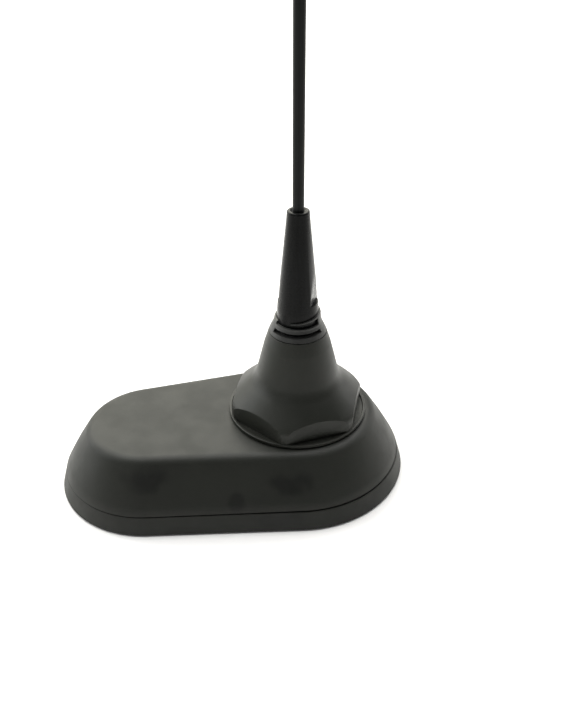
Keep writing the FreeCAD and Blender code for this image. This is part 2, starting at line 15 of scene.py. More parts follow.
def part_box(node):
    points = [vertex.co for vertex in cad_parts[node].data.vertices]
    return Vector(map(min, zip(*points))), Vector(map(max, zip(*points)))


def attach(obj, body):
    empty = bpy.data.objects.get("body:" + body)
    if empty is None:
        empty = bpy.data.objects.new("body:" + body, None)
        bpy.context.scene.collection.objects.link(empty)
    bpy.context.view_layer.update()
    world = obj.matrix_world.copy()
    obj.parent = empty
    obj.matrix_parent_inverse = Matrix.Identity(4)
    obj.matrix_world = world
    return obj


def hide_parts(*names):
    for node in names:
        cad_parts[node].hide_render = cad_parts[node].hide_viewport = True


bl_info = {
    "name": "Whip antenna on a magnet base",
    "version": (1, 0, 0),
    "blender": (4, 5, 0),
    "location": "View3D > Sidebar > Antenna",
    "description": "Builds the visible pieces of a whip antenna on an oblong magnet base",
    "category": "Object",
}

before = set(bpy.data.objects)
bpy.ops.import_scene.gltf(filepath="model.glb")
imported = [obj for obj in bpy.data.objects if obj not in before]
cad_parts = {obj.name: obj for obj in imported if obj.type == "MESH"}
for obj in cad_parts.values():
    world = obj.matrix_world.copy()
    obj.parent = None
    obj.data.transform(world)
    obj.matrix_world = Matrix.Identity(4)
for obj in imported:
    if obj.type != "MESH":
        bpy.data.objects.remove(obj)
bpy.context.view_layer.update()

MM = 0.001
MERGE = 1e-6
FULL = 2 * math.pi
UP = Vector((0.0, 0.0, 1.0))
ARC_STEP = math.radians(9)
SMOOTH_ANGLE = math.radians(32)


def side(node, axis, end):
    """A coordinate of a packed node's box: its low (0) or high (1) end along an axis."""
    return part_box(node)[end]["xyz".index(axis)]


def span(node, axis="z"):
    """Both ends of a packed node's box along an axis."""
    return side(node, axis, 0), side(node, axis, 1)


def radius_of(node):
    """The radius of a packed node that stands round the whip's axis."""
    return side(node, "x", 1)


# Radius of the grommet between its flanges, and the width of the sole's edge section
GROMMET_NECK = 4.0 * MM
SOLE_EDGE = 4.0 * MM

# The axis of the whip and the centre of the tail's round end, from the parts that are there
WHIP_AXIS = Vector((0.0, 0.0, 0.0))
TAIL_CENTRE = Vector((sum(span("tail_pole_cup", "x")) / 2, 0.0, 0.0))
FLOOR_LIP = side("base_tray", "z", 0)
COVER_TOP = side("base_cover", "z", 1)
DISC_LOW, CROWN_TOP = span("nut_boot")
DISC_RADIUS = radius_of("nut_boot")


# ---- Properties -------------------------------------------------------------------------------

def length(name, millimetres, text):
    return FloatProperty(
        name=name, description=text, default=millimetres * MM,
        unit="LENGTH", subtype="DISTANCE", precision=5,
    )


def angle(name, degrees, text):
    return FloatProperty(
        name=name, description=text, default=math.radians(degrees),
        unit="ROTATION", subtype="ANGLE",
    )


def power(name, watts, text):
    return FloatProperty(name=name, description=text, default=watts, unit="POWER")


def count(name, number, text):
    return IntProperty(name=name, description=text, default=number, min=3)


def colour(name, value, text):
    return FloatVectorProperty(
        name=name, description=text, default=value, subtype="COLOR", min=0.0, max=1.0,
    )


class BaseSizes(bpy.types.PropertyGroup):
    """Sizes of the cover, the tray, the sole and the cable's grommet."""

    front_radius: length("Front radius", 36.2, "Broad round end of the base at floor level")
    tail_radius: length("Tail radius", 30.6, "Narrow round end of the base at floor level")
    skirt_height: length("Skirt height", 6.25, "Height at which the cover meets the tray")
    skirt_draft: length("Skirt draft", 1.87, "How far the tray leans in by its top")
    cover_draft: angle("Cover draft", 31.0, "Lean of the cover's wall from upright")
    wall_bulge: length("Wall bulge", 0.45, "How far the middle of the cover's wall swells")
    wall_bend: length("Wall bend", 120.0, "Radius of that swell")
    edge_radius: length("Edge radius", 4.1, "Rounding between the cover's wall and its top")
    cover_wall: length("Cover wall", 2.6, "Thickness of the moulded cover")
    gap_tail: length("Gap at the tail", 0.15, "Parting gap at the narrow end")
    gap_front: length("Gap at the front", 0.75, "Parting gap at the broad end")
    rim_round: length("Rim rounding", 0.28, "Rounding of the moulded rims")
    lip_height: length("Lip height", 1.75, "Height of the tray's inner lip")
    lip_wall: length("Lip wall", 1.6, "Thickness of the tray's inner lip")
    seal_land: length("Seal land", 0.5, "Width of the tray's rim outside its seal groove")
    seal_depth: length("Seal depth", 0.9, "Depth of the groove round the tray's rim")
    tray_wall: length("Tray wall", 4.1, "Thickness of the tray's wall")
    floor_wall: length("Floor wall", 2.0, "Thickness of the tray's floor")
    sole_margin: length("Sole margin", 2.1, "Distance from the skirt to the sole")
    groove_margin: length("Groove margin", 2.4, "Distance from the sole's edge to its groove")
    groove_width: length("Groove width", 1.1, "Width of the groove in the sole")
    groove_depth: length("Groove depth", 0.35, "Depth of the groove in the sole")
    cable_bore: length("Cable bore", 2.6, "Radius of the hole in the grommet")
    arc_steps: count("Arc steps", 60, "Steps round each half of the outline")


class NutSizes(bpy.types.PropertyGroup):
    """Sizes of the hexagon nut's moulded cap, its disc and its gasket."""

    disc_thickness: length("Disc thickness", 0.95, "Thickness of the disc under the hexagon")
    corner_margin: length("Corner margin", 0.4, "From the disc's rim to the hexagon's corners")
    flat_margin: length("Flat margin", 2.9, "From the disc's rim to the hexagon's flats")
    turn: angle("Turn", -110.5, "Heading of the hexagon's first corner")
    corner_height: length("Corner height", 4.0, "Upright part of the hexagon's corners")
    corner_round: length("Corner rounding", 3.6, "Rounding at the top of the corners")
    foot_radius: length("Foot radius", 13.75, "Radius where the neck rises")
    foot_height: length("Foot height", 34.9, "Height where the neck rises")
    foot_round: length("Foot rounding", 8.0, "Sweep between the corners and the neck")
    shoulder_radius: length("Shoulder radius", 10.6, "Radius at the top of the neck")
    shoulder_height: length("Shoulder height", 47.6, "Height at the top of the neck")
    rim_radius: length("Rim radius", 9.85, "Radius of the rim above the shoulder")
    rim_height: length("Rim height", 49.9, "Height of the rim above the shoulder")
    crown_radius: length("Crown radius", 9.2, "Radius at the very top of the cap")
    line_round: length("Line rounding", 0.8, "Rounding of the faint lines round the neck")
    pocket_depth: length("Pocket depth", 0.45, "Depth of the recess in the disc")
    pocket_margin: length("Pocket margin", 0.9, "Width of the disc's raised rim")
    edge_round: length("Edge rounding", 0.16, "Rounding of the hexagon's cut edges")
    steps: count("Steps", 168, "Steps round the nut")


class CollarSizes(bpy.types.PropertyGroup):
    """Sizes of the slotted rubber collar."""

    waist_radius: length("Waist radius", 7.6, "Radius at the waist")
    waist_height: length("Waist height", 55.4, "Height of the waist")
    neck_radius: length("Neck radius", 7.25, "Radius under the lip")
    neck_height: length("Neck height", 57.0, "Height under the lip")
    lip_radius: length("Lip radius", 7.2, "Radius of the lip")
    root_line: length("Root line", 0.28, "Height of the fine groove under the collar")
    lip_grip: length("Lip grip", 0.5, "Height over which the lip hugs the ferrule")
    lip_tilt: angle("Lip tilt", 5.0, "How far the worn lip stands askew")
    lip_wear: length("Lip wear", 0.9, "How much of the lip is worn off at its low end")
    lip_slant: angle("Lip slant", 8.7, "Slope of the worn edge")
    gap: length("Gap", 0.3, "Gap between the collar and the ferrule")
    key_margin: length("Key margin", 0.9, "From the collar's bore to its buried key")
    key_wall: length("Key wall", 1.0, "Thickness of the buried key")
    slot_turn: angle("Slot turn", -101.0, "Heading of the slots' middles")
    slot_spread: angle("Slot spread", 62.0, "Half of the angle that a slot spans")
    low_slot: length("Lower slot", 53.4, "Height of the lower slots")
    low_slot_tall: length("Lower slot's opening", 1.3, "Opening of the lower slots")
    high_slot: length("Upper slot", 56.0, "Height of the upper slots")
    high_slot_tall: length("Upper slot's opening", 1.15, "Opening of the upper slots")
    edge_round: length("Edge rounding", 0.14, "Softening of the moulded edges")
    steps: count("Steps", 144, "Steps round the collar")


class WhipSizes(bpy.types.PropertyGroup):
    """Sizes of the ferrule, the rod and the tip."""

    foot_height: length("Foot height", 60.2, "Height where the ferrule begins to taper")
    waist_radius: length("Waist radius", 3.62, "Radius where the taper ends")
    waist_height: length("Waist height", 88.8, "Height where the taper ends")
    top_radius: length("Top radius", 3.36, "Radius at the ferrule's top")
    top_round: length("Top rounding", 0.55, "Rounding of the ferrule's top edge")
    sink_radius: length("Sink radius", 2.45, "Radius of the countersink round the rod")
    sink_depth: length("Sink depth", 0.45, "Depth of the countersink round the rod")
    flats_across: length("Across flats", 10.2, "Distance between the wrench flats")
    flats_turn: angle("Flats' turn", -28.0, "Heading of the first wrench flat")
    flats_low: length("Flats' foot", 62.4, "Height where the wrench flats begin")
    flats_high: length("Flats' head", 74.0, "Height where the wrench flats run out")
    stud_bore: length("Stud bore", 2.56, "Radius of the threaded bore")
    bore_top: length("Bore top", 57.4, "Height where the threaded bore ends")
    tip_wall: length("Tip wall", 0.6, "Thickness of the rubber tip")
    tip_land: length("Tip land", 0.05, "Flat left in the middle of the tip")
    edge_round: length("Edge rounding", 0.1, "Softening of the machined edges")
    steps: count("Steps", 128, "Steps round the whip")


class FinishColours(bpy.types.PropertyGroup):
    """Colours of the finishes."""

    plastic: colour("Plastic", (0.0124, 0.0135, 0.0103), "Moulded base and nut")
    rubber: colour("Rubber", (0.013, 0.0135, 0.0125), "Collar, gasket, sole and tip")
    lacquer: colour("Lacquer", (0.006, 0.0065, 0.0065), "Blackened metal of the whip")
    steel: colour("Steel", (0.56, 0.57, 0.58), "Zinc-plated steel")
    ferrite: colour("Ferrite", (0.1, 0.1, 0.105), "Magnets")
    brass: colour("Brass", (0.72, 0.53, 0.27), "Turned contact parts")
    laminate: colour("Laminate", (0.02, 0.16, 0.07), "Circuit board")
    copper: colour("Copper", (0.78, 0.4, 0.24), "Coil wire")
    nylon: colour("Nylon", (0.78, 0.77, 0.72), "Spacers and insulator")
    ceramic: colour("Ceramic", (0.45, 0.33, 0.22), "Chip capacitors")


class StageSettings(bpy.types.PropertyGroup):
    """Floor, lights and camera."""

    floor_size: FloatProperty(
        name="Floor size", description="Side of the floor", default=8.0,
        unit="LENGTH", subtype="DISTANCE",
    )
    floor_colour: colour("Floor colour", (0.92, 0.915, 0.905), "Pale floor")
    room: FloatProperty(name="Room", description="Strength of the room's own light", default=0.2)
    overhead: power("Overhead", 21.0, "Power of the overhead softbox")
    back: power("Back", 37.0, "Power of the softbox behind the object")
    left: power("Left", 7.0, "Power of the softbox at the tail")
    right: power("Right", 4.0, "Power of the softbox at the front")
    fill: power("Fill", 2.5, "Power of the softbox beside the camera")
    lens: FloatProperty(
        name="Lens", description="Focal length in millimetres", default=40.39, subtype="NONE",
    )


GROUPS = {
    "antenna_base": BaseSizes,
    "antenna_nut": NutSizes,
    "antenna_collar": CollarSizes,
    "antenna_whip": WhipSizes,
    "antenna_finish": FinishColours,
    "antenna_stage": StageSettings,
}


# ---- Modelling helpers -----------------------------------------------------------------------

def facing(heading):
    """The level direction of a heading."""
    return Vector((math.cos(heading), math.sin(heading), 0))


def softened(corners, closed=True, arc=ARC_STEP):
    """Points through (across, up) or (across, up, radius) corners, the last kind rounded."""
    points = []
    total = len(corners)
    for index, corner in enumerate(corners):
        here = Vector(corner[:2])
        inner = closed or 0 < index < total - 1
        if len(corner) == 2 or not inner:
            points.append(here)
            continue
        back = (Vector(corners[index - 1][:2]) - here).normalized()
        ahead = (Vector(corners[(index + 1) % total][:2]) - here).normalized()
        half = back.angle(ahead) / 2
        centre = here + (back + ahead).normalized() * (corner[2] / math.sin(half))
        sweep = math.pi - 2 * half
        steps = max(2, math.ceil(sweep / arc))
        reach = corner[2] / math.tan(half)
        start = here + back * reach - centre
        turn = math.copysign(sweep, start.cross(here + ahead * reach - centre))
        for step in range(steps + 1):
            points.append(centre + start @ Matrix.Rotation(-turn * step / steps, 2))
    if closed:
        points.append(points[0].copy())
    return points


def begin(name):
    """A new mesh of one vertex at the origin, in edit mode."""
    bpy.ops.object.select_all(action="DESELECT")
    bpy.ops.mesh.primitive_plane_add(size=MM, enter_editmode=True, location=(0, 0, 0))
    piece = bpy.context.object
    piece.name = name
    piece.data.name = name
    bpy.ops.mesh.select_mode(type="VERT")
    bpy.ops.mesh.select_all(action="SELECT")
    bpy.ops.mesh.merge(type="CENTER")
    bpy.ops.mesh.select_all(action="SELECT")
    return piece


def draw(points):
    """Carries the one vertex through a line of points, and leaves the line selected."""
    bpy.ops.transform.translate(value=points[0])
    for before, after in zip(points, points[1:]):
        bpy.ops.mesh.extrude_vertices_move(TRANSFORM_OT_translate={"value": after - before})
    bpy.ops.mesh.select_all(action="SELECT")


def close_up():
    """Merges doubles, turns the faces outwards and goes back to object mode."""
    bpy.ops.mesh.select_all(action="SELECT")
    bpy.ops.mesh.remove_doubles(threshold=MERGE)
    bpy.ops.mesh.delete_loose()
    bpy.ops.mesh.select_all(action="SELECT")
    bpy.ops.mesh.normals_make_consistent(inside=False)
    bpy.ops.object.mode_set(mode="OBJECT")


def turned(
    name, corners, steps, centre=WHIP_AXIS, along="Z", sweep=FULL, heading=0.0, arc=ARC_STEP
):
    """A closed outline of (radius, along) corners spun about an axis through a centre."""
    piece = begin(name)
    points = []
    for across, up in softened(corners, arc=arc):
        if along == "Z":
            points.append(centre + facing(heading) * across + UP * up)
        else:
            points.append(Vector((centre.x + across, up, centre.z)))
    draw(points)
    axis = UP if along == "Z" else (0, 1, 0)
    bpy.ops.mesh.spin(steps=steps, angle=-sweep, center=centre, axis=axis)
    if sweep < FULL:
        for end in (heading, heading + sweep):
            normal = facing(end + FULL / 4)
            pick("VERT", lambda v: abs((v.co - centre).dot(normal)) < MERGE)
            bpy.ops.mesh.edge_face_add()
    close_up()
    return piece


def pick(kind, test):
    """Selects the vertices, edges or faces that pass a test, and nothing else."""
    bpy.ops.mesh.select_mode(type=kind)
    bpy.ops.mesh.select_all(action="DESELECT")
    form = bmesh.from_edit_mesh(bpy.context.edit_object.data)
    items = {"VERT": form.verts, "EDGE": form.edges, "FACE": form.faces}[kind]
    for item in items:
        if test(item):
            item.select_set(True)
    form.select_flush_mode()
    bmesh.update_edit_mesh(bpy.context.edit_object.data)


def outline(base):
    """Heading of the base's straight flanks, from their outward side, and their length."""
    gap = -TAIL_CENTRE.x
    step = base.front_radius - base.tail_radius
    return math.acos(-step / gap), math.sqrt(gap ** 2 - step ** 2)


def inset_of(base, place):
    """How far a point lies inside the base's outline at floor level."""
    tangent, flank = outline(base)
    mirror = math.copysign(1, place.y)
    flat = Vector((place.x, place.y, 0))
    reach = flat.dot(facing(mirror * (tangent + FULL / 4)))
    if reach < 0:
        return base.front_radius - flat.length
    if reach > flank:
        return base.tail_radius - (flat - TAIL_CENTRE).length
    return base.front_radius - flat.dot(facing(mirror * tangent))


def belted(name, corners, base, closed=True, arc=ARC_STEP):
    """A section of (inset, height) corners carried round the base's outline."""
    tangent, flank = outline(base)
    ahead = facing(tangent + FULL / 4) * flank
    start = facing(-tangent)
    piece = begin(name)
    draw([
        start * (base.front_radius - inset) + UP * up
        for inset, up in softened(corners, closed=closed, arc=arc)
    ])
    bpy.ops.mesh.spin(steps=base.arc_steps, angle=-2 * tangent, center=WHIP_AXIS, axis=UP)
    bpy.ops.mesh.extrude_region_move(TRANSFORM_OT_translate={"value": ahead})
    bpy.ops.mesh.spin(
        steps=base.arc_steps, angle=-(FULL - 2 * tangent), center=TAIL_CENTRE, axis=UP
    )
    bpy.ops.mesh.extrude_region_move(TRANSFORM_OT_translate={"value": (-ahead.x, ahead.y, 0)})
    bpy.ops.mesh.select_all(action="SELECT")
    bpy.ops.mesh.remove_doubles(threshold=MERGE)
    return piece


def close_level(height):
    """Closes the open loop of edges at a height with one flat face."""
    pick("EDGE", lambda e: e.is_boundary and all(abs(v.co.z - height) < MERGE for v in e.verts))
    bpy.ops.mesh.edge_face_add()


def activate(piece):
    """Selects one piece alone and makes it the active one."""
    bpy.ops.object.select_all(action="DESELECT")
    piece.select_set(True)
    bpy.context.view_layer.objects.active = piece


def apply(piece, kind, **settings):
    """Adds one modifier and applies it."""
    modifier = piece.modifiers.new(kind.lower(), kind)
    for key, value in settings.items():
        setattr(modifier, key, value)
    activate(piece)
    bpy.ops.object.modifier_apply(modifier=modifier.name)


def combine(piece, tool, operation="DIFFERENCE"):
    """Cuts a tool out of a piece, or joins the two."""
    apply(piece, "BOOLEAN", object=tool, operation=operation, solver="EXACT")
    bpy.data.objects.remove(tool)


def drill(piece, radius, low, high, centre=WHIP_AXIS, along="Z"):
    """Cuts a round hole."""
    combine(piece, turned(
        "drill", [(0, low), (radius, low), (radius, high), (0, high)], 96, centre, along
    ))


def settle(piece, body, slot, finish, *nodes):
    """Shades a finished piece, gives it its finish and puts it on its body."""
    activate(piece)
    bpy.ops.object.shade_smooth_by_angle(angle=SMOOTH_ANGLE)
    piece.data.materials.clear()
    piece.data.materials.append(finish)
    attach(piece, body)
    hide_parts(*nodes)


# ---- Finishes ----------------------------------------------------------------------------------

class Finish:
    """A procedural material under construction, on Object coordinates in metres."""

    def __init__(self, name, metallic=0.0):
        self.material = bpy.data.materials.new(name)
        self.material.use_nodes = True
        self.tree = self.material.node_tree
        self.shader = self.tree.nodes["Principled BSDF"]
        self.shader.inputs["Metallic"].default_value = metallic
        self.place = self.node("ShaderNodeTexCoord").outputs["Object"]
        self.relief_below = None

    def node(self, kind, **settings):
        made = self.tree.nodes.new(kind)
        for key, value in settings.items():
            setattr(made, key, value)
        return made

    def link(self, source, target):
        self.tree.links.new(source, target)

    def stretched(self, scale, offset=(0, 0, 0)):
        """Object coordinates stretched and moved."""
        mapping = self.node("ShaderNodeMapping")
        self.link(self.place, mapping.inputs["Vector"])
        mapping.inputs["Scale"].default_value = scale
        mapping.inputs["Location"].default_value = offset
        return mapping.outputs["Vector"]

    def noise(self, scale, detail=3.0, rough=0.55, vector=None):
        made = self.node("ShaderNodeTexNoise")
        made.inputs["Scale"].default_value = scale
        made.inputs["Detail"].default_value = detail
        made.inputs["Roughness"].default_value = rough
        self.link(vector or self.place, made.inputs["Vector"])
        return made.outputs["Fac"]

    def cells(self, scale):
        made = self.node("ShaderNodeTexVoronoi")
        made.inputs["Scale"].default_value = scale
        self.link(self.place, made.inputs["Vector"])
        return made.outputs["Distance"]

    def spread(self, value, low, high, start=0.0, end=1.0):
        """Carries the part of a value between low and high to start and end."""
        made = self.node("ShaderNodeMapRange", interpolation_type="SMOOTHSTEP")
        self.link(value, made.inputs["Value"])
        for key, number in (
            ("From Min", low), ("From Max", high), ("To Min", start), ("To Max", end)
        ):
            made.inputs[key].default_value = number
        return made.outputs["Result"]

    def math(self, operation, first, second):
        made = self.node("ShaderNodeMath", operation=operation)
        for socket, value in zip(made.inputs, (first, second)):
            if isinstance(value, (int, float)):
                socket.default_value = value
            else:
                self.link(value, socket)
        return made.outputs["Value"]

    def blend(self, factor, first, second):
        """Mixes two colours, each a tuple or a socket."""
        made = self.node("ShaderNodeMix", data_type="RGBA")
        self.link(factor, made.inputs["Factor"])
        for key, value in (("A", first), ("B", second)):
            socket = [s for s in made.inputs if s.name == key and s.type == "RGBA"][0]
            if isinstance(value, bpy.types.NodeSocket):
                self.link(value, socket)
            else:
                socket.default_value = (*value[:3], 1.0)
        return [s for s in made.outputs if s.type == "RGBA"][0]

    def toned(self, value, low, high, tone, dark, bright):
        """A tone that goes from dark times to bright times itself along a value."""
        fade = self.spread(value, low, high)
        return self.blend(fade, shade_of(tone, dark), shade_of(tone, bright))

    def mottled(self, scale, detail, low, high):
        """A roughness that wanders between low and high."""
        return self.spread(self.noise(scale, detail), 0.3, 0.7, low, high)

    def relief(self, height, depth, strength=1.0):
        """Adds a layer of bump, depth metres high."""
        made = self.node("ShaderNodeBump")
        made.inputs["Distance"].default_value = depth
        made.inputs["Strength"].default_value = strength
        self.link(height, made.inputs["Height"])
        if self.relief_below is not None:
            self.link(self.relief_below, made.inputs["Normal"])
        self.relief_below = made.outputs["Normal"]

    def done(self, base, roughness, **fixed):
        self.link(base, self.shader.inputs["Base Color"])
        self.link(roughness, self.shader.inputs["Roughness"])
        if self.relief_below is not None:
            self.link(self.relief_below, self.shader.inputs["Normal"])
        for key, value in fixed.items():
            self.shader.inputs[key.replace("_", " ")].default_value = value
        return self.material


def shade_of(value, factor):
    """A colour lightened or darkened by a factor."""
    return tuple(min(1.0, part * factor) for part in value)


def moulded_plastic(name, tone, rough=0.5, smudges=(), grain=0.5):
    """Charcoal plastic from a spark-eroded mould, faintly mottled, with finger marks."""
    finish = Finish(name)
    base = finish.toned(finish.noise(45, 4.0), 0.3, 0.7, tone, 0.88, 1.1)
    specks = finish.noise(2600, 2.0, vector=finish.stretched((1, 1, 1), (3, 1, 2)))
    dust = finish.spread(specks, 0.7, 0.78)
    base = finish.blend(finish.math("MULTIPLY", dust, 0.35), base, shade_of(tone, 2.4))
    level = finish.mottled(120, 5.0, rough - 0.045, rough + 0.045)
    ragged = finish.noise(130, 3.0, 0.5)
    for centre, reach in smudges:
        scale = tuple(1 / part for part in reach)
        offset = tuple(-c * s for c, s in zip(centre, scale))
        ball = finish.node("ShaderNodeTexGradient", gradient_type="SPHERICAL")
        finish.link(finish.stretched(scale, offset), ball.inputs["Vector"])
        edge = finish.spread(ragged, 0.3, 0.7, 0.45, 1.25)
        mark = finish.math("MULTIPLY", ball.outputs["Fac"], edge)
        mark = finish.spread(mark, 0.1, 0.55)
        base = finish.blend(finish.math("MULTIPLY", mark, 0.75), base, shade_of(tone, 0.25))
        level = finish.math("SUBTRACT", level, finish.math("MULTIPLY", mark, 0.07))
    finish.relief(finish.noise(70, 2.0), 0.00006, 0.35)
    finish.relief(finish.cells(4200), 0.000012, grain)
    finish.relief(finish.noise(9000, 2.0), 0.000006, grain)
    return finish.done(base, level, IOR=1.5, Specular_IOR_Level=0.3)


def moulded_rubber(name, tone, rough=0.58, bloom=1.5):
    """Black rubber with a soft bloom and a fine pitted skin."""
    finish = Finish(name)
    base = finish.toned(finish.noise(160, 5.0, 0.6), 0.35, 0.75, tone, 0.85, bloom)
    level = finish.mottled(700, 3.0, rough - 0.06, rough + 0.08)
    finish.relief(finish.noise(500, 3.0), 0.00003, 0.4)
    finish.relief(finish.cells(5200), 0.000014, 0.6)
    return finish.done(base, level, IOR=1.5, Sheen_Weight=0.04, Sheen_Roughness=0.4)


def black_lacquer(name, tone, rough=0.3, drawn=1.0):
    """Blackened metal under a thin lacquer, with fine marks along it."""
    finish = Finish(name)
    marks = finish.noise(900, 3.0, vector=finish.stretched((1.0, 1.0, 0.03 * drawn)))
    base = finish.toned(marks, 0.3, 0.75, tone, 0.75, 1.6)
    spots = finish.spread(finish.noise(1500, 2.0), 0.68, 0.76)
    base = finish.blend(finish.math("MULTIPLY", spots, 0.25), base, shade_of(tone, 4.0))
    level = finish.mottled(400, 4.0, rough - 0.05, rough + 0.06)
    finish.relief(marks, 0.000006, 0.35)
    finish.relief(finish.noise(2400, 3.0), 0.000008, 0.3)
    return finish.done(
        base, level, IOR=1.5, Specular_IOR_Level=0.1, Sheen_Weight=0.2, Sheen_Roughness=0.35
    )


def plated_steel(name, tone, rough=0.34):
    """Zinc plating with a rolled grain and small cloudy spangles."""
    finish = Finish(name, metallic=1.0)
    grain = finish.noise(1400, 3.0, vector=finish.stretched((0.06, 1.0, 1.0)))
    spangle = finish.cells(420)
    base = finish.toned(grain, 0.3, 0.7, tone, 0.78, 1.1)
    base = finish.blend(finish.spread(spangle, 0.2, 0.8, 0.0, 0.3), base, shade_of(tone, 0.7))
    level = finish.spread(grain, 0.3, 0.7, rough - 0.07, rough + 0.09)
    finish.relief(grain, 0.000008, 0.4)
    return finish.done(base, level)


def ground_ferrite(name, tone):
    """Dark sintered ferrite with pits and the faint arcs that grinding leaves."""
    finish = Finish(name)
    pits = finish.spread(finish.cells(2600), 0.05, 0.3)
    rings = finish.node("ShaderNodeTexWave", wave_type="RINGS", rings_direction="Z")
    rings.inputs["Scale"].default_value = 900
    rings.inputs["Distortion"].default_value = 1.5
    finish.link(finish.place, rings.inputs["Vector"])
    base = finish.blend(pits, shade_of(tone, 0.5), shade_of(tone, 1.1))
    arcs = finish.math("MULTIPLY", rings.outputs["Fac"], 0.25)
    base = finish.blend(arcs, base, shade_of(tone, 1.5))
    level = finish.mottled(900, 3.0, 0.45, 0.65)
    finish.relief(pits, 0.00002, 0.5)
    return finish.done(base, level)


def turned_metal(name, tone, rough=0.26):
    """Machined metal whose tool marks run round the part, a little tarnished."""
    finish = Finish(name, metallic=1.0)
    cuts = finish.noise(5200, 2.0, vector=finish.stretched((0.02, 0.02, 1.0)))
    tarnish = finish.spread(finish.noise(320, 5.0), 0.4, 0.75)
    base = finish.toned(cuts, 0.3, 0.7, tone, 0.85, 1.08)
    base = finish.blend(finish.math("MULTIPLY", tarnish, 0.5), base, shade_of(tone, 0.55))
    level = finish.spread(tarnish, 0.0, 1.0, rough, rough + 0.18)
    finish.relief(cuts, 0.000006, 0.4)
    return finish.done(base, level)


def masked_laminate(name, tone, track_pitch=260.0):
    """Glass laminate under green mask: woven ground, and copper tracks that show through."""
    finish = Finish(name)
    weave = finish.node("ShaderNodeTexChecker")
    weave.inputs["Scale"].default_value = 2400
    finish.link(finish.place, weave.inputs["Vector"])
    tracks = finish.node("ShaderNodeTexBrick")
    tracks.inputs["Scale"].default_value = track_pitch
    tracks.inputs["Mortar Size"].default_value = 0.06
    tracks.inputs["Mortar Smooth"].default_value = 0.1
    finish.link(finish.place, tracks.inputs["Vector"])
    lines = tracks.outputs["Fac"]
    glass = finish.math("MULTIPLY", weave.outputs["Fac"], 0.2)
    ground = finish.blend(glass, tone, shade_of(tone, 1.6))
    base = finish.blend(lines, ground, shade_of(tone, 1.9))
    level = finish.mottled(600, 3.0, 0.25, 0.38)
    finish.relief(lines, 0.00003, 0.6)
    return finish.done(base, level, Coat_Weight=0.3, Coat_Roughness=0.15)


def wound_copper(name, tone):
    """Enamelled copper wire, drawn, with slightly darker enamel in places."""
    finish = Finish(name, metallic=1.0)
    enamel = finish.spread(finish.noise(700, 4.0), 0.35, 0.7)
    base = finish.blend(enamel, tone, shade_of(tone, 0.62))
    level = finish.mottled(1800, 3.0, 0.2, 0.32)
    finish.relief(finish.noise(3000), 0.000005, 0.3)
    return finish.done(base, level, Coat_Weight=0.6, Coat_Roughness=0.12)


def natural_nylon(name, tone):
    """Milky nylon with flow marks."""
    finish = Finish(name)
    flow = finish.noise(240, 5.0, vector=finish.stretched((1, 1, 0.4)))
    base = finish.toned(flow, 0.3, 0.7, tone, 0.93, 1.0)
    level = finish.mottled(900, 3.0, 0.38, 0.5)
    finish.relief(finish.noise(1600), 0.00001, 0.4)
    return finish.done(base, level, Subsurface_Weight=0.1, Subsurface_Scale=0.002)


def chip_body(name, tone, half_pitch, bright=(0.7, 0.7, 0.68)):
    """Fired ceramic chips with tinned ends."""
    finish = Finish(name)
    parts = finish.node("ShaderNodeSeparateXYZ")
    finish.link(finish.place, parts.inputs["Vector"])
    low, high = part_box("tuning_capacitors")
    middle = (low.y + high.y) / 2
    away = finish.math("ABSOLUTE", finish.math("SUBTRACT", parts.outputs["Y"], middle), 0.0)
    ends = finish.spread(away, half_pitch - 0.00005, half_pitch + 0.00005)
    grain = finish.spread(finish.noise(3000, 3.0), 0.3, 0.7)
    body = finish.blend(grain, shade_of(tone, 0.85), shade_of(tone, 1.1))
    base = finish.blend(ends, body, bright)
    finish.link(ends, finish.shader.inputs["Metallic"])
    level = finish.spread(grain, 0.0, 1.0, 0.32, 0.42)
    finish.relief(grain, 0.00001, 0.4)
    return finish.done(base, level)


# ---- Base -------------------------------------------------------------------------------------

class PieceOperator:
    """What the operators share: they can be undone, and they always finish or raise."""

    bl_options = {"REGISTER", "UNDO"}


